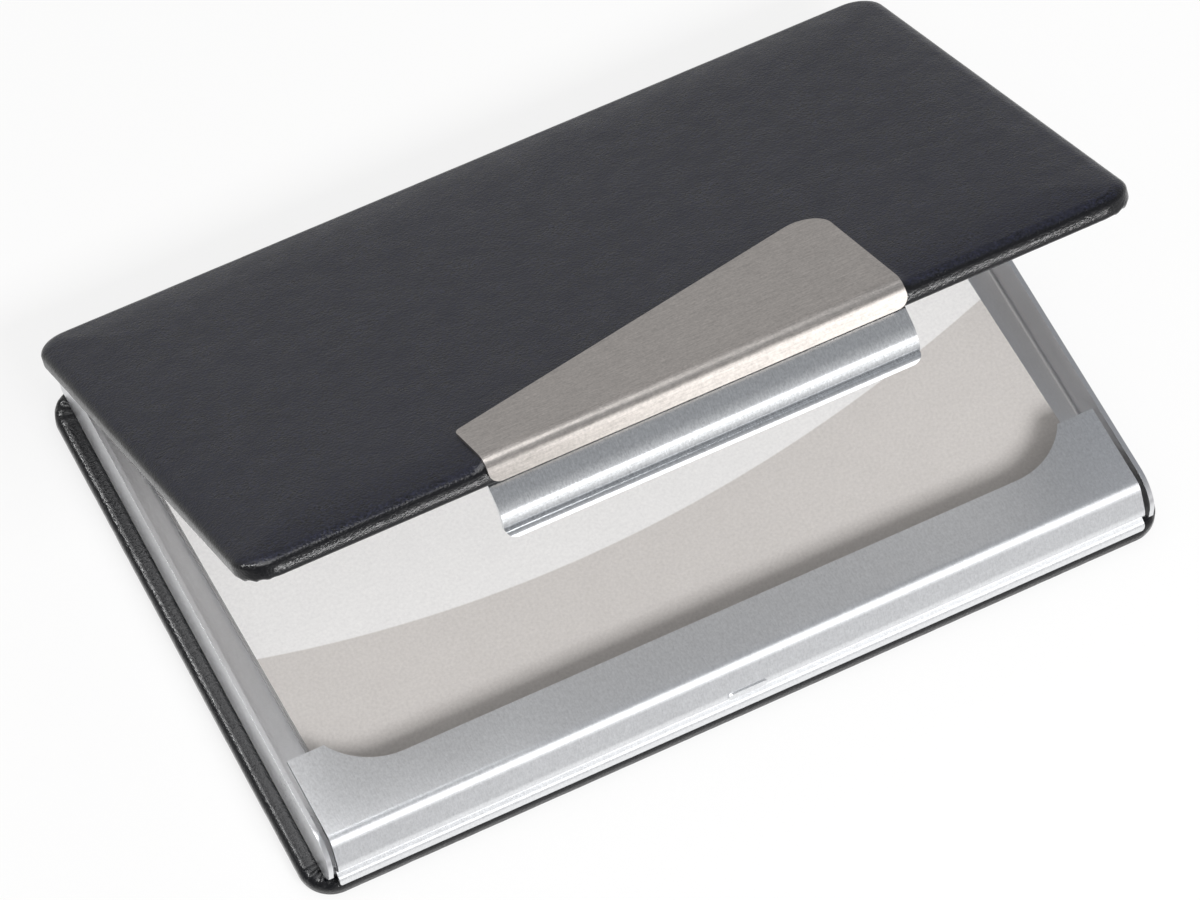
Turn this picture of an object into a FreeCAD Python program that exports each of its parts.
import FreeCAD, Part
import Sketcher
import math
import os

from FreeCAD import Placement, Rotation, Vector

# Business card case: an aluminium tray with a snap-shut lid, both faces wrapped in leather.
# Frame: +X along the hinge, -Y the opening front, +Z up. Origin: centre of the underside of the
# base. Left is -X and right is +X. The lid's pieces are drawn with the lid shut and then turned
# about the hinge axis to the half-open rest pose.
#
# In the dimensions, "front", "rear" and "back" are distances from the origin along Y, and "low",
# "high" and "top" are heights above the underside.

doc = FreeCAD.newDocument("BusinessCardCase")
sheet = doc.addObject("Spreadsheet::Sheet", "Dims")

CELLS = [
    # leather-covered base board
    ("leather_thick", 0.55), ("board_thick", 1.1),
    ("cover_wide", 96.4), ("cover_deep", 64.0), ("cover_shift", 0.6), ("cover_corner", 3.5),
    ("base_thick", "=2 * leather_thick + board_thick"), ("base_round", 0.9),
    ("board_wide", "=cover_wide - 2 * leather_thick"),
    ("board_deep", "=cover_deep - 2 * leather_thick"),
    ("board_corner", "=cover_corner - leather_thick"),
    ("window_wide", 83.0), ("window_deep", 52.0), ("window_corner", 1.5), ("filler_gap", 0.2),
    ("filler_wide", "=window_wide - 2 * filler_gap"),
    ("filler_deep", "=window_deep - 2 * filler_gap"),
    # tray
    ("sheet_thick", 0.5), ("tray_wide", 92.7), ("tray_top", 8.8), ("bend_outer", 0.9),
    ("tray_front", 32.4), ("tray_rear", 31.2), ("nose_reach", 3.2), ("floor_front", 31.3),
    ("back_wall_face", 30.6), ("back_wall_top", 8.4), ("back_wall_wide", 87.2),
    ("back_wall_foot", 3.0), ("back_wall_gap", 0.35),
    ("notch_wide", 88.4), ("notch_rear", 26.2), ("notch_over", 0.3),
    # front rail
    ("rail_thick", 0.45), ("rail_wide", 90.6), ("lip_rear", 20.8), ("nose_radius", 1.5),
    ("nose_facet_rear", 30.81), ("nose_facet_low", 5.81), ("nose_facet_radius", 1.8),
    ("nose_low", 4.85), ("nose_low_radius", 0.8),
    ("groove_depth", 0.9), ("groove_high", 4.25), ("groove_radius", 0.3),
    ("strip_front", 32.7), ("strip_high", 3.7), ("strip_knee", 0.6), ("strip_bend", 0.5),
    ("strip_corner", 1.0), ("strip_cut_back", 1.2), ("strip_cut_depth", 3.0),
    ("foot_rear", 26.5), ("foot_wide", 87.8), ("foot_cut_over", 0.15), ("foot_cut_under", 0.35),
    ("cut_wide", 82.6), ("cut_straight", 24.8), ("cut_flat_wide", 77.1), ("cut_radius", 8.0),
    ("cut_corner", 1.0), ("cut_over", 0.5), ("cut_depth", 1.5),
    ("catch_wide", 4.4), ("catch_high", 1.0), ("catch_proud", 0.12), ("catch_lift", 0.2),
    ("catch_root", 0.3), ("slit_wide", 2.0), ("slit_depth", 4.0), ("front_cut_back", 2.0),
    # hinge
    ("hinge_back", 29.4), ("hinge_high", 7.0), ("pin_radius", 1.0), ("pin_clear", 0.05),
    ("head_radius", 1.6), ("head_thick", 0.5), ("head_gap", 0.05), ("shaft_overlap", 0.1),
    ("ear_out", 45.5), ("ear_thick", 0.4), ("ear_radius", 1.9),
    ("washer_thick", 0.3), ("washer_radius", 1.8), ("open_angle", 35.1),
    # lid
    ("lid_deep", 64.2), ("lid_shift", 0.9), ("liner_low", 9.1), ("liner_thick", 0.4),
    ("liner_wide", 91.0), ("liner_front", 31.6), ("liner_rear", 31.0),
    ("liner_notch_wide", 46.0), ("liner_notch_rear", 26.0),
    ("pad_thick", 0.5), ("pad_inset", 0.5), ("pad_corner", 2.5),
    ("lid_low", "=liner_low + liner_thick"),
    ("lid_thick", "=2 * leather_thick + board_thick + pad_thick"),
    ("lid_round_top", 1.2), ("lid_round_low", 0.6),
    ("lid_board_deep", "=lid_deep - 2 * leather_thick"),
    ("pad_wide", "=board_wide - 2 * pad_inset"), ("pad_deep", "=lid_board_deep - 2 * pad_inset"),
    ("lid_window_deep", 51.0), ("lid_filler_deep", "=lid_window_deep - 2 * filler_gap"),
    # latch flap
    ("flap_wide", 45.0), ("flap_thick", 0.45), ("flap_gap", 0.25), ("flap_rear", 26.3),
    ("facet_rear", 31.35), ("facet_rear_bend", 0.8), ("flap_front", 32.85),
    ("facet_low", 6.7), ("facet_low_bend", 0.6),
    ("belly_front", 32.74), ("belly_high", 5.1), ("belly_bend", 0.8),
    ("crimp_in", 32.2), ("crimp_high", 4.42), ("crimp_bend", 0.25),
    ("lip_out", 32.95), ("lip_knee", 3.95), ("lip_knee_bend", 0.15), ("lip_low", 3.3),
    ("flap_corner", 1.2), ("flap_cut_depth", 6.0),
    # clasp plate
    ("plate_wide", 45.0), ("plate_thick", 0.4), ("plate_gap", 0.02), ("plate_low", 9.9),
    ("plate_blank_rear", 9.0), ("plate_left_rear", 25.4), ("plate_right_rear", 12.05),
    ("plate_left_corner", 0.8), ("plate_right_corner", 3.0), ("plate_low_corner", 1.2),
    ("plate_cut_over", 1.0), ("plate_cut_depth", 3.0),
    # cards
    ("card_wide", 85.0), ("card_deep", 55.0), ("card_thick", 0.31), ("card_pitch", 0.32),
    ("card_count", 5), ("card_x", 0.25), ("card_y", -2.2), ("card_turn", 1.2),
    ("card_rise", 0.02),
]
for row, (alias, content) in enumerate(CELLS, start=1):
    sheet.set("A%d" % row, alias)
    sheet.set("B%d" % row, str(content))
    sheet.setAlias("B%d" % row, alias)
doc.recompute()


class SheetValues:
    """The sheet's values, each under its alias."""


dim = SheetValues()
vars(dim).update({alias: float(sheet.get(alias)) for alias, _ in CELLS})

# How far each card strays from the stack's mean place: x, y, turn in degrees.
CARD_STRAY = [
    (0.1, -0.05, 0.0), (-0.12, 0.05, -0.12), (0.05, 0.1, 0.08), (-0.05, -0.08, -0.05),
    (0.0, 0.0, 0.0),
]

# Rounded rectangles: the aliases of width, depth and corner radius.
COVER = ("cover_wide", "cover_deep", "cover_corner")
BOARD = ("board_wide", "board_deep", "board_corner")
WINDOW = ("window_wide", "window_deep", "window_corner")
FILLER = ("filler_wide", "filler_deep", "window_corner")
LID_COVER = ("cover_wide", "lid_deep", "cover_corner")
LID_BOARD = ("board_wide", "lid_board_deep", "board_corner")
LID_WINDOW = ("window_wide", "lid_window_deep", "window_corner")
LID_FILLER = ("filler_wide", "lid_filler_deep", "window_corner")
PADDING = ("pad_wide", "pad_deep", "pad_corner")

BASE_Y = "0 - cover_shift"
LID_Y = "0 - lid_shift"


# ---- document helpers ----------------------------------------------------------------------------

def ref(formula):
    """Name the sheet in a formula of aliases; its words are parted by spaces."""
    return " ".join("Dims." + word if word in vars(dim) else word for word in formula.split())


def new_body(label):
    body = doc.addObject("PartDesign::Body", label)
    body.Label = label
    return body


def attach(body, name, role, x="0", y="0", z="0"):
    """A sketch on an origin plane, moved by formulas in the sketch's own frame."""
    sketch = body.newObject("Sketcher::SketchObject", name)
    plane = next(item for item in body.Origin.OriginFeatures if item.Role == role)
    sketch.AttachmentSupport = [(plane, "")]
    sketch.MapMode = "FlatFace"
    for axis, formula in (("x", x), ("y", y), ("z", z)):
        if formula != "0":
            sketch.setExpression(".AttachmentOffset.Base." + axis, ref(formula))
    return sketch


def bind(sketch, rows):
    """Add dimensional constraints driven by the sheet: kind, arguments, formula."""
    for kind, arguments, formula in rows:
        index = sketch.addConstraint(Sketcher.Constraint(kind, *arguments))
        sketch.setExpression("Constraints[%d]" % index, ref(formula))


def rounded_rect(body, name, size, y, z="0"):
    """A rounded rectangle centred on its sketch's origin, with its sizes bound to the sheet."""
    sketch = attach(body, name, "XY_Plane", y=y, z=z)
    # starting sizes, which the bound constraints replace
    wide, deep, radius = 40.0, 30.0, 2.0
    half_wide, half_deep = wide / 2, deep / 2
    arc_x, arc_y = half_wide - radius, half_deep - radius

    def line(x0, y0, x1, y1):
        return Part.LineSegment(Vector(x0, y0, 0), Vector(x1, y1, 0))

    def arc(x, y, start):
        circle = Part.Circle(Vector(x, y, 0), Vector(0, 0, 1), radius)
        return Part.ArcOfCircle(circle, math.radians(start), math.radians(start + 90))

    sketch.addGeometry([
        line(-arc_x, -half_deep, arc_x, -half_deep), arc(arc_x, -arc_y, -90),
        line(half_wide, -arc_y, half_wide, arc_y), arc(arc_x, arc_y, 0),
        line(arc_x, half_deep, -arc_x, half_deep), arc(-arc_x, arc_y, 90),
        line(-half_wide, arc_y, -half_wide, -arc_y), arc(-arc_x, -arc_y, 180),
    ], False)
    constraints = [Sketcher.Constraint("Tangent", i, 2, (i + 1) % 8, 1) for i in range(8)]
    constraints += [Sketcher.Constraint("Horizontal", i) for i in (0, 4)]
    constraints += [Sketcher.Constraint("Vertical", i) for i in (2, 6)]
    constraints += [Sketcher.Constraint("Equal", 1, i) for i in (3, 5, 7)]
    constraints += [Sketcher.Constraint("Symmetric", 1, 3, 5, 3, -1, 1)]
    sketch.addConstraint(constraints)
    bind(sketch, [
        ("Radius", (1, radius), size[2]),
        ("DistanceX", (6, 1, 2, 1, wide), size[0]),
        ("DistanceY", (0, 1, 4, 1, deep), size[1]),
    ])
    return sketch


def pad(body, name, sketch, length, both=False):
    feature = body.newObject("PartDesign::Pad", name)
    feature.Profile = sketch
    feature.setExpression("Length", ref(length))
    if both:
        feature.Midplane = True
    body.Tip = feature
    doc.recompute()
    return feature


def pocket(body, name, sketch, length=None, reverse=False):
    """Cut to a depth or, with no length, right through both ways. The cut must remove something."""
    before = body.Tip.Shape.Volume
    feature = body.newObject("PartDesign::Pocket", name)
    feature.Profile = sketch
    if length is None:
        feature.Type = "ThroughAll"
    else:
        feature.setExpression("Length", ref(length))
    feature.Midplane = length is None
    feature.Reversed = reverse
    body.Tip = feature
    doc.recompute()
    if not feature.Shape.Volume < before - 1e-3:
        raise RuntimeError(name + " removed nothing")


def fillet(body, name, base, edges, radius):
    feature = body.newObject("PartDesign::Fillet", name)
    feature.Base = (base, edges)
    feature.setExpression("Radius", ref(radius))
    body.Tip = feature
    doc.recompute()
    return feature


def edges_where(shape, test):
    """Names of the edges whose bounding box passes the test."""
    return ["Edge%d" % i for i, edge in enumerate(shape.Edges, start=1) if test(edge.BoundBox)]


def edges_at(shape, axis, place):
    """Names of the edges that lie wholly at one place along an axis."""
    return edges_where(shape, lambda box: all(
        abs(getattr(box, axis + end) - place) < 1e-4 for end in ("Min", "Max")))


def rounded_plate(label, sketch_name, pad_name, size, thick, y, z):
    body = new_body(label)
    pad(body, pad_name, rounded_rect(body, sketch_name, size, y, z), thick)
    return body


def rounded_pocket(body, sketch_name, pocket_name, size, depth, y, z):
    pocket(body, pocket_name, rounded_rect(body, sketch_name, size, y, z), depth)


def hinge_bore(body, sketch_name, pocket_name, radius):
    """A bore along the hinge axis, right through the body."""
    sketch = attach(body, sketch_name, "YZ_Plane")
    centre = Vector(dim.hinge_back, dim.hinge_high, 0)
    sketch.addGeometry(Part.Circle(centre, Vector(0, 0, 1), dim.pin_radius), False)
    bind(sketch, [
        ("DistanceX", (-1, 1, 0, 3, dim.hinge_back), "hinge_back"),
        ("DistanceY", (-1, 1, 0, 3, dim.hinge_high), "hinge_high"),
        ("Radius", (0, dim.pin_radius), radius),
    ])
    pocket(body, pocket_name, sketch)


# ---- outlines ------------------------------------------------------------------------------------
# A corner is (x, y) or (x, y, bend radius) in the sketch's plane. A path is a list of
# ("L", start, end) and ("A", centre, radius, start, end, turn), where turn is 1 to the left.

def direction(start, end):
    length = math.dist(start, end)
    return ((end[0] - start[0]) / length, (end[1] - start[1]) / length)


def directions(points):
    return [direction(start, end) for start, end in zip(points, points[1:])]


def split_corners(corners):
    """Corners as a list of points and a list of radii."""
    return [row[:2] for row in corners], [row[2] if len(row) > 2 else 0 for row in corners]


def bent_path(points, radii):
    """Lines and tangent arcs along a polyline, with one radius for each point."""
    path, here = [], points[0]
    for i in range(1, len(points) - 1):
        corner, radius = points[i], radii[i]
        into = direction(points[i - 1], corner)
        away = direction(corner, points[i + 1])
        cross = into[0] * away[1] - into[1] * away[0]
        dot = into[0] * away[0] + into[1] * away[1]
        angle = math.acos(max(-1.0, min(1.0, dot)))
        if radius <= 1e-6 or angle < 1e-6:
            path.append(("L", here, corner))
            here = corner
            continue
        tangent = radius * math.tan(angle / 2)
        start = (corner[0] - into[0] * tangent, corner[1] - into[1] * tangent)
        end = (corner[0] + away[0] * tangent, corner[1] + away[1] * tangent)
        turn = 1.0 if cross > 0 else -1.0
        centre = (start[0] - into[1] * radius * turn, start[1] + into[0] * radius * turn)
        path += [("L", here, start), ("A", centre, radius, start, end, turn)]
        here = end
    path.append(("L", here, points[-1]))
    return path


def offset_points(points, thick):
    """The polyline moved to its left, with mitred corners."""
    along = directions(points)
    moved = []
    for (x, y), into, away in zip(points, along[:1] + along, along + along[-1:]):
        mitre = (-into[1] - away[1], into[0] + away[0])
        scale = 2 * thick / (mitre[0] ** 2 + mitre[1] ** 2)
        moved.append((x + mitre[0] * scale, y + mitre[1] * scale))
    return moved


def sheet_profile(corners, thick):
    """The closed outline of a bent sheet: one face along the corners, the other to its left."""
    points, radii = split_corners(corners)
    along = directions(points)
    far_radii = [0.0] * len(points)
    for i in range(1, len(points) - 1):
        into, away = along[i - 1], along[i]
        cross = into[0] * away[1] - into[1] * away[0]
        if radii[i] > 0:
            far_radii[i] = radii[i] - thick if cross > 0 else radii[i] + thick
    near = bent_path(points, radii)
    back = []
    for item in reversed(bent_path(offset_points(points, thick), far_radii)):
        if item[0] == "L":
            back.append(("L", item[2], item[1]))
        else:
            back.append(("A", item[1], item[2], item[4], item[3], -item[5]))
    return near + [("L", near[-1][2], back[0][1])] + back + [("L", back[-1][2], near[0][1])]


def closed(corners):
    """A closed outline, begun halfway along the side from the last corner to the first."""
    points, radii = split_corners(corners)
    middle = ((points[-1][0] + points[0][0]) / 2, (points[-1][1] + points[0][1]) / 2)
    return bent_path([middle] + points + [middle], [0] + radii + [0])


def box_outline(x0, y0, x1, y1):
    return closed([(x0, y0), (x1, y0), (x1, y1), (x0, y1)])


def draw(sketch, path):
    """Put a closed path in a sketch, joined end to end."""
    geometry, ends = [], []
    for item in path:
        if item[0] == "L":
            if math.dist(item[1], item[2]) < 1e-6:
                continue
            geometry.append(Part.LineSegment(Vector(*item[1], 0), Vector(*item[2], 0)))
            ends.append((1, 2))
            continue
        _, centre, radius, start, end, turn = item
        first = math.atan2(start[1] - centre[1], start[0] - centre[0])
        last = math.atan2(end[1] - centre[1], end[0] - centre[0])
        if turn < 0:
            first, last = last, first
        while last <= first:
            last += 2 * math.pi
        circle = Part.Circle(Vector(*centre, 0), Vector(0, 0, 1), radius)
        geometry.append(Part.ArcOfCircle(circle, first, last))
        ends.append((1, 2) if turn > 0 else (2, 1))
    sketch.addGeometry(geometry, False)
    count = len(geometry)
    sketch.addConstraint([
        Sketcher.Constraint("Coincident", i, ends[i][1], (i + 1) % count, ends[(i + 1) % count][0])
        for i in range(count)
    ])


def drawn(body, name, role, path, z="0"):
    """A sketch on an origin plane that holds the path."""
    sketch = attach(body, name, role, z=z)
    draw(sketch, path)
    return sketch


# ---- base ----------------------------------------------------------------------------------------

def base_board():
    return rounded_plate("base_board", "BoardOutline", "BoardPad", BOARD, "board_thick",
                         BASE_Y, "leather_thick")


def base_leather():
    """The leather wraps the board; its hem leaves a window on top."""
    body = new_body("base_leather")
    cover = pad(body, "CoverPad", rounded_rect(body, "CoverOutline", COVER, BASE_Y), "base_thick")
    rims = edges_at(cover.Shape, "Z", 0.0) + edges_at(cover.Shape, "Z", dim.base_thick)
    fillet(body, "CoverRims", cover, rims, "base_round")
    rounded_pocket(body, "BoardSpace", "BoardRoom", BOARD, "board_thick",
                   BASE_Y, "leather_thick + board_thick")
    rounded_pocket(body, "HemWindow", "HemOpening", WINDOW, "leather_thick", BASE_Y, "base_thick")
    return body


def base_filler():
    """A sheet that fills the hem's window."""
    return rounded_plate("base_filler", "FillerOutline", "FillerPad", FILLER, "leather_thick",
                         BASE_Y, "base_thick - leather_thick")


# ---- card tray: floor and side walls from one strip, shaped wall ends, back wall -----------------

def card_tray():
    body = new_body("card_tray")
    floor, top, half_wide = dim.base_thick, dim.tray_top, dim.tray_wide / 2
    section = sheet_profile([
        (-half_wide, top), (-half_wide, floor, dim.bend_outer),
        (half_wide, floor, dim.bend_outer), (half_wide, top),
    ], dim.sheet_thick)
    sketch = drawn(body, "WallSection", "XZ_Plane", section, z="tray_front / 2 - tray_rear / 2")
    pad(body, "Channel", sketch, "tray_front + tray_rear", both=True)

    # The front wall ends follow the rail's rounded nose. The rear ones are round about the hinge
    # pins, so that the lid swings past them.
    # side, outline, cut, wall end, floor end, lower and upper rise of the slope, radius at the
    # slope's upper end, radius at the top
    rear_radius = top - dim.hinge_high - 0.001
    wall_ends = [
        (-1, "FrontEnds", "FrontTrim", dim.tray_front, dim.floor_front, 0.8, 2.1, 0.5,
         dim.nose_reach),
        (1, "RearEnds", "RearTrim", dim.tray_rear, dim.back_wall_face, 0.7, 1.6, 0.3,
         rear_radius),
    ]
    below, above, beyond, inward = floor - 1, top + 1.2, 1.5, 20.0
    for side, outline_name, cut_name, wall, foot, rise, knee, knee_radius, radius in wall_ends:
        outline = closed([
            (side * (wall + beyond), below), (side * foot, below), (side * foot, floor + rise),
            (side * wall, floor + knee, knee_radius), (side * wall, top, radius),
            (side * inward, top), (side * inward, above), (side * (wall + beyond), above),
        ])
        pocket(body, cut_name, drawn(body, outline_name, "YZ_Plane", outline))

    # the floor stops short of the front rail's foot, and of the back wall's bend
    front_half = dim.notch_wide / 2
    rear_half = dim.back_wall_wide / 2 + dim.back_wall_gap
    notches = [
        ("FloorNotches", "FrontNotch",
         box_outline(-front_half, -dim.tray_front - 2, front_half, -dim.notch_rear)),
        ("RearNotchOutline", "RearNotch",
         box_outline(-rear_half, dim.back_wall_face - dim.bend_outer,
                     rear_half, dim.tray_rear + 2)),
    ]
    for outline_name, cut_name, outline in notches:
        sketch = drawn(body, outline_name, "XY_Plane", outline,
                       z="base_thick + sheet_thick + notch_over")
        pocket(body, cut_name, sketch, "sheet_thick + 2 * notch_over")

    face = dim.back_wall_face
    section = sheet_profile([
        (face - dim.back_wall_foot, floor), (face, floor, dim.bend_outer),
        (face, dim.back_wall_top),
    ], dim.sheet_thick)
    sketch = drawn(body, "BackWallSection", "YZ_Plane", section)
    pad(body, "BackWall", sketch, "back_wall_wide", both=True)
    hinge_bore(body, "PinHoleCircle", "PinHoles", "pin_radius")
    return body


# ---- front rail: card lip, rounded nose, snap groove, lower strip and foot -----------------------

def card_retainer():
    body = new_body("card_retainer")
    floor, top, front = dim.base_thick, dim.tray_top, -dim.tray_front
    # the outer face, from the lip over the nose and down to the foot: y, z, bend radius
    section = sheet_profile([
        (-dim.lip_rear, top),
        (-dim.nose_facet_rear, top, dim.nose_radius),
        (front, dim.nose_facet_low, dim.nose_facet_radius),
        (front, dim.nose_low, dim.nose_low_radius),
        (front + dim.groove_depth, dim.groove_high, dim.groove_radius),
        (-dim.strip_front, dim.strip_high, dim.strip_knee),
        (-dim.strip_front, floor, dim.strip_bend),
        (-dim.foot_rear, floor),
    ], dim.rail_thick)
    pad(body, "RailPad", drawn(body, "RailSection", "YZ_Plane", section), "rail_wide", both=True)

    # the wide thumb cut-out in the lip
    half_wide, half_flat, rear = dim.cut_wide / 2, dim.cut_flat_wide / 2, -dim.lip_rear
    outline = closed([
        (-half_wide, rear + 2), (-half_wide, rear, dim.cut_corner),
        (-half_flat, -dim.cut_straight, dim.cut_radius),
        (half_flat, -dim.cut_straight, dim.cut_radius),
        (half_wide, rear, dim.cut_corner), (half_wide, rear + 2),
    ])
    sketch = drawn(body, "ThumbCutOutline", "XY_Plane", outline, z="tray_top + cut_over")
    pocket(body, "ThumbCut", sketch, "cut_depth")

    # the foot is narrower than the nose, so that it clears the tray's side bends
    foot_half = dim.foot_wide / 2
    for side, outline_name, cut_name in (
        (1, "FootEndOutline", "FootEndRight"), (-1, "FootEndOutlineLeft", "FootEndLeft"),
    ):
        outline = box_outline(side * foot_half, -dim.floor_front - 0.2, side * 50, -20)
        sketch = drawn(body, outline_name, "XY_Plane", outline,
                       z="base_thick + rail_thick + foot_cut_over")
        pocket(body, cut_name, sketch, "rail_thick + foot_cut_over + foot_cut_under")

    # lower ends of the strip, each rounded by two chords as seen from the front
    rail_half, corner = dim.rail_wide / 2, dim.strip_corner
    chord_inset = 0.29 * corner
    for side, outline_name, cut_name in (
        (1, "StripEnds", "StripEndRight"), (-1, "StripEndsLeft", "StripEndLeft"),
    ):
        outline = closed([
            (side * (rail_half + 1), floor - 1), (side * (rail_half + 1), floor + corner),
            (side * rail_half, floor + corner),
            (side * (rail_half - chord_inset), floor + chord_inset),
            (side * (rail_half - corner), floor), (side * (rail_half - corner), floor - 1),
        ])
        sketch = drawn(body, outline_name, "XZ_Plane", outline, z="tray_front - strip_cut_back")
        pocket(body, cut_name, sketch, "strip_cut_depth", reverse=True)

    # the catch: a raised bar pressed out of the nose just above the groove
    low = dim.nose_low + dim.catch_lift
    high = low + dim.catch_high
    half_wide, radius = dim.catch_wide / 2, dim.catch_high / 2 - 0.01
    outline = closed([
        (-half_wide, low, radius), (half_wide, low, radius),
        (half_wide, high, radius), (-half_wide, high, radius),
    ])
    sketch = drawn(body, "CatchOutline", "XZ_Plane", outline, z="tray_front - catch_root")
    catch = pad(body, "CatchPad", sketch, "catch_proud + catch_root")
    rim = edges_at(catch.Shape, "Y", front - dim.catch_proud)
    fillet(body, "CatchRound", catch, rim, "catch_proud - 0.02")

    # a slit under the catch
    half_slit = dim.slit_wide / 2
    outline = box_outline(-half_slit, dim.nose_low - 0.3, half_slit, dim.nose_low + 0.02)
    sketch = drawn(body, "CatchSlitOutline", "XZ_Plane", outline, z="tray_front - front_cut_back")
    pocket(body, "CatchSlit", sketch, "slit_depth", reverse=True)
    return body


# ---- cards and hinge -----------------------------------------------------------------------------

def compound(label, items):
    group = doc.addObject("Part::Compound", label)
    group.Label = label
    group.Links = items
    return group


def business_cards():
    """A small loose stack lying a little askew on the floor."""
    cards = []
    for i in range(int(dim.card_count)):
        card = doc.addObject("Part::Box", "Card%d" % (i + 1))
        card.setExpression("Length", "Dims.card_wide")
        card.setExpression("Width", "Dims.card_deep")
        card.setExpression("Height", "Dims.card_thick")
        stray_x, stray_y, stray_turn = CARD_STRAY[i % len(CARD_STRAY)]
        turn = Rotation(Vector(0, 0, 1), dim.card_turn + stray_turn)
        low = dim.base_thick + dim.sheet_thick + dim.card_rise + i * dim.card_pitch
        centre = Vector(dim.card_x + stray_x, dim.card_y + stray_y, low)
        corner = turn.multVec(Vector(-dim.card_wide / 2, -dim.card_deep / 2, 0))
        card.Placement = Placement(centre + corner, turn)
        cards.append(card)
    return compound("business_cards", cards)


def cylinder(name, radius, x0, x1):
    """A cylinder on the hinge axis."""
    rod = doc.addObject("Part::Cylinder", name)
    rod.setExpression("Radius", ref(radius))
    rod.Height = abs(x1 - x0)
    start = Vector(min(x0, x1), dim.hinge_back, dim.hinge_high)
    rod.Placement = Placement(start, Rotation(Vector(0, 1, 0), 90))
    return rod


def combine(kind, name, base, tool):
    result = doc.addObject(kind, name)
    result.Base, result.Tool = base, tool
    return result


def hinge():
    """Two headed pins, and two washers midway between the lid's ears and the tray's walls."""
    wall_out = dim.tray_wide / 2
    head_out = dim.ear_out - dim.ear_thick - dim.head_gap
    washer_play = wall_out - dim.sheet_thick - dim.ear_out - dim.washer_thick
    washer_in = dim.ear_out + washer_play / 2
    pins, washers = [], []
    for side, tag in ((-1, "Left"), (1, "Right")):
        shaft = cylinder("PinShaft" + tag, "pin_radius",
                         side * wall_out, side * (head_out - dim.shaft_overlap))
        head = cylinder("PinHead" + tag, "head_radius",
                        side * head_out, side * (head_out - dim.head_thick))
        pins.append(combine("Part::Fuse", "Pin" + tag, shaft, head))
        ring = cylinder("WasherBlank" + tag, "washer_radius",
                        side * washer_in, side * (washer_in + dim.washer_thick))
        hole = cylinder("WasherHole" + tag, "pin_radius + pin_clear",
                        side * (washer_in - 1), side * (washer_in + 1))
        washers.append(combine("Part::Cut", "Washer" + tag, ring, hole))
    return [compound("hinge_pins", pins), compound("hinge_washers", washers)]


# ---- lid, drawn shut -----------------------------------------------------------------------------

def lid_liner():
    """A plate under the lid, notched for the latch flap, with two hinge ears."""
    body = new_body("lid_liner")
    half_wide, half_notch = dim.liner_wide / 2, dim.liner_notch_wide / 2
    front, rear, notch = -dim.liner_front, dim.liner_rear, -dim.liner_notch_rear
    outline = closed([
        (-half_wide, front, 2.0), (-half_notch, front, 0.4), (-half_notch, notch, 0.4),
        (half_notch, notch, 0.4), (half_notch, front, 0.4), (half_wide, front, 2.0),
        (half_wide, rear, 0.6), (-half_wide, rear, 0.6),
    ])
    sketch = drawn(body, "LinerOutline", "XY_Plane", outline, z="liner_low")
    pad(body, "LinerPlate", sketch, "liner_thick")

    radius, root = dim.ear_radius, dim.liner_low + dim.liner_thick / 2
    ear_front, ear_rear = dim.hinge_back - radius, dim.hinge_back + radius
    ear_low = dim.hinge_high - radius
    outline = closed([
        (ear_front - 3.4, root), (ear_front - 0.6, ear_low, radius),
        (ear_rear, ear_low, radius - 0.01), (ear_rear - 0.12, root),
    ])
    for tag, start in (("Right", "ear_out - ear_thick"), ("Left", "0 - ear_out")):
        sketch = drawn(body, "Ear" + tag + "Outline", "YZ_Plane", outline, z=start)
        pad(body, "Ear" + tag, sketch, "ear_thick")
    hinge_bore(body, "EarBoreCircle", "EarBores", "pin_radius + pin_clear")
    return body


def lid_filler():
    """A sheet that fills the window in the lid's hem."""
    return rounded_plate("lid_filler", "LidFillerOutline", "LidFillerPad", LID_FILLER,
                         "leather_thick", LID_Y, "lid_low")


def lid_board():
    return rounded_plate("lid_board", "LidBoardOutline", "LidBoardPad", LID_BOARD,
                         "board_thick", LID_Y, "lid_low + leather_thick")


def lid_padding():
    return rounded_plate("lid_padding", "PaddingOutline", "PaddingPad", PADDING,
                         "pad_thick", LID_Y, "lid_low + leather_thick + board_thick")


def lid_leather():
    """The leather wraps board and padding; its hem leaves a window underneath."""
    body = new_body("lid_leather")
    sketch = rounded_rect(body, "LidCoverOutline", LID_COVER, LID_Y, "lid_low")
    cover = pad(body, "LidCoverPad", sketch, "lid_thick")
    top_rim = edges_at(cover.Shape, "Z", dim.lid_low + dim.lid_thick)
    rounded = fillet(body, "LidTopRim", cover, top_rim, "lid_round_top")
    low_rim = edges_at(rounded.Shape, "Z", dim.lid_low)
    fillet(body, "LidLowRim", rounded, low_rim, "lid_round_low")
    rounded_pocket(body, "LidBoardSpace", "LidBoardRoom", LID_BOARD, "board_thick",
                   LID_Y, "lid_low + leather_thick + board_thick")
    rounded_pocket(body, "PaddingSpace", "PaddingRoom", PADDING, "pad_thick",
                   LID_Y, "lid_low + leather_thick + board_thick + pad_thick")
    rounded_pocket(body, "LidHemWindow", "LidHemOpening", LID_WINDOW, "leather_thick",
                   LID_Y, "lid_low + leather_thick")
    return body


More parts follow.
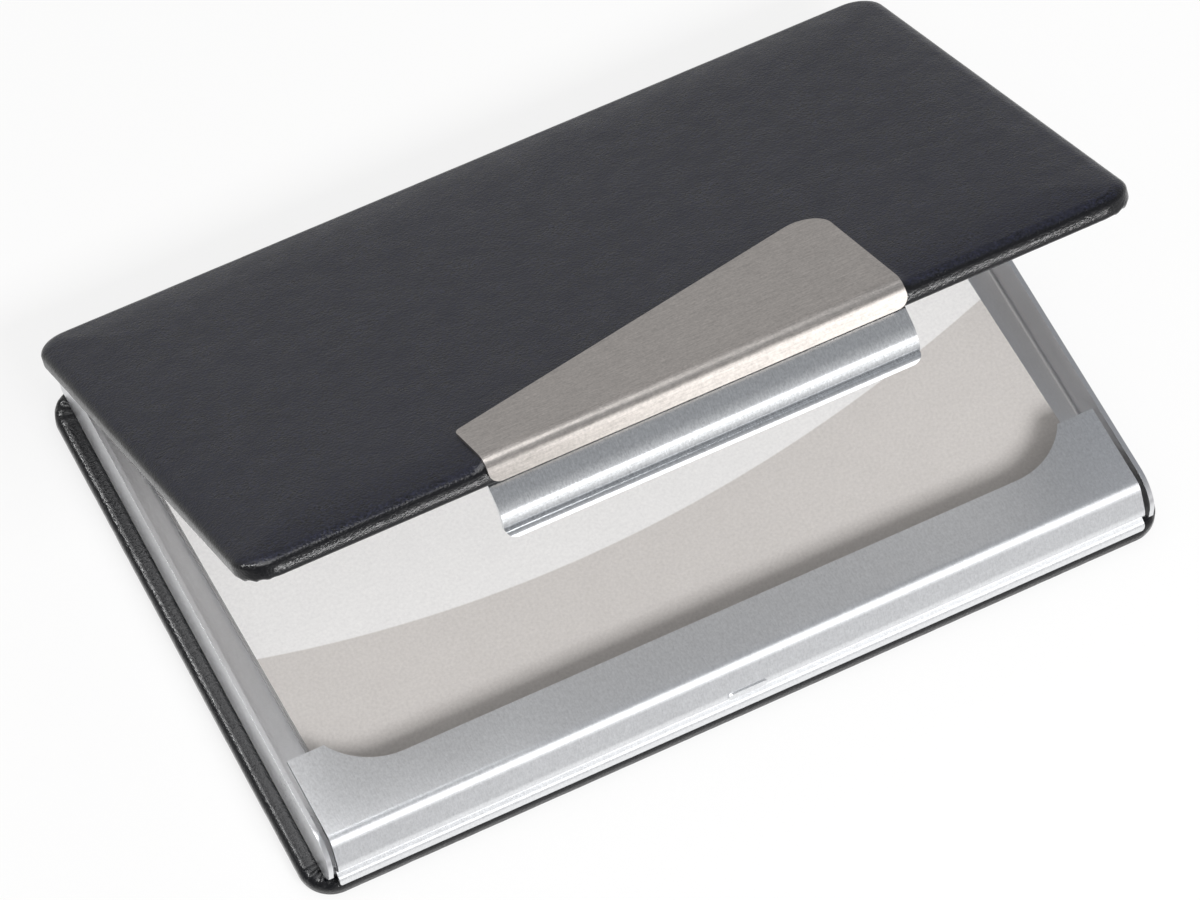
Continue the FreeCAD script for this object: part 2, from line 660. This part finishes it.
def latch_flap():
    """The flange lies under the lid's front hem, a slanting facet and an upright front pass over
    the nose, and the crimp below snaps into the groove."""
    body = new_body("latch_flap")
    flange = dim.tray_top + dim.flap_gap
    # the outer face, from the lip up to the flange: y, z, bend radius
    section = sheet_profile([
        (-dim.lip_out, dim.lip_low),
        (-dim.lip_out, dim.lip_knee, dim.lip_knee_bend),
        (-dim.crimp_in, dim.crimp_high, dim.crimp_bend),
        (-dim.belly_front, dim.belly_high, dim.belly_bend),
        (-dim.flap_front, dim.facet_low, dim.facet_low_bend),
        (-dim.facet_rear, flange, dim.facet_rear_bend),
        (-dim.flap_rear, flange),
    ], -dim.flap_thick if False else dim.flap_thick)
    pad(body, "FlapPad", drawn(body, "FlapSection", "YZ_Plane", section), "flap_wide", both=True)

    half_wide, corner, low = dim.flap_wide / 2, dim.flap_corner, dim.lip_low - 0.01
    for side, tag in ((1, "Right"), (-1, "Left")):
        outline = closed([
            (side * (half_wide + 1), low - 1), (side * (half_wide + 1), low + corner),
            (side * half_wide, low + corner), (side * half_wide, low, corner - 0.01),
            (side * (half_wide - corner), low), (side * (half_wide - corner), low - 1),
        ])
        sketch = drawn(body, "FlapCorner" + tag, "XZ_Plane", outline,
                       z="tray_front - front_cut_back")
        pocket(body, "FlapCornerCut" + tag, sketch, "flap_cut_depth", reverse=True)
    return body


def clasp_plate():
    """A trapezoid that lies on the leather and rolls over the lid's front edge."""
    body = new_body("clasp_plate")
    gap = dim.plate_gap
    inner_high = dim.lid_low + dim.lid_thick + gap
    inner_front = -dim.lid_shift - dim.lid_deep / 2 - gap
    section = sheet_profile([
        (inner_front, dim.plate_low), (inner_front, inner_high, dim.lid_round_top + gap),
        (-dim.plate_blank_rear, inner_high),
    ], dim.plate_thick)
    sketch = drawn(body, "PlateSection", "YZ_Plane", section)
    pad(body, "PlatePad", sketch, "plate_wide", both=True)

    # The trim removes everything behind the slanting rear edge, with a small corner at the left
    # and a wide one at the right. It steps out past each side where the corner's arc begins.
    half_wide = dim.plate_wide / 2
    left, right = -dim.plate_left_rear, -dim.plate_right_rear
    slant = math.atan((right - left) / dim.plate_wide)
    left_step = left - dim.plate_left_corner * math.tan((math.pi / 2 - slant) / 2)
    right_step = right - dim.plate_right_corner * math.tan((math.pi / 2 + slant) / 2)
    outline = closed([
        (-half_wide - 1, 5.0), (-half_wide - 1, left_step), (-half_wide, left_step),
        (-half_wide, left, dim.plate_left_corner), (half_wide, right, dim.plate_right_corner),
        (half_wide, right_step), (half_wide + 1, right_step), (half_wide + 1, 5.0),
    ])
    sketch = drawn(body, "PlateTrimOutline", "XY_Plane", outline,
                   z="lid_low + lid_thick + plate_cut_over")
    pocket(body, "PlateTrim", sketch, "plate_cut_depth")

    trimmed = body.Tip
    low_edges = edges_where(trimmed.Shape, lambda box: (
        box.ZMax < dim.plate_low + 1e-3 and abs(abs(box.Center.x) - half_wide) < 1e-3))
    fillet(body, "PlateLowCorners", trimmed, low_edges, "plate_low_corner")
    return body


# ---- assembly ------------------------------------------------------------------------------------

parts = [base_board(), base_leather(), base_filler(), card_tray(), card_retainer()]
parts += [business_cards()] + hinge()
lid = [
    lid_liner(), lid_filler(), lid_board(), lid_padding(), lid_leather(), latch_flap(),
    clasp_plate(),
]
parts += lid
doc.recompute()

# The half-open rest pose: the shut lid turned about the hinge axis, front upwards.
opening = Rotation(Vector(1, 0, 0), -dim.open_angle)
hinge_axis = Vector(0, dim.hinge_back, dim.hinge_high)
for item in lid:
    item.Placement = Placement(hinge_axis - opening.multVec(hinge_axis), opening)
doc.recompute()

# ---- checks and export ---------------------------------------------------------------------------

for item in doc.Objects:
    faults = [state for state in item.State if state in ("Invalid", "Error")]
    if faults:
        raise RuntimeError("%s: %s" % (item.Name, faults))
for item in parts:
    if item.Shape.isNull() or not item.Shape.isValid() or not item.Shape.Solids:
        raise RuntimeError(item.Label + " has no valid solid")

os.makedirs("parts", exist_ok=True)
for item in parts:
    item.Shape.exportStep("parts/" + item.Label + ".step")
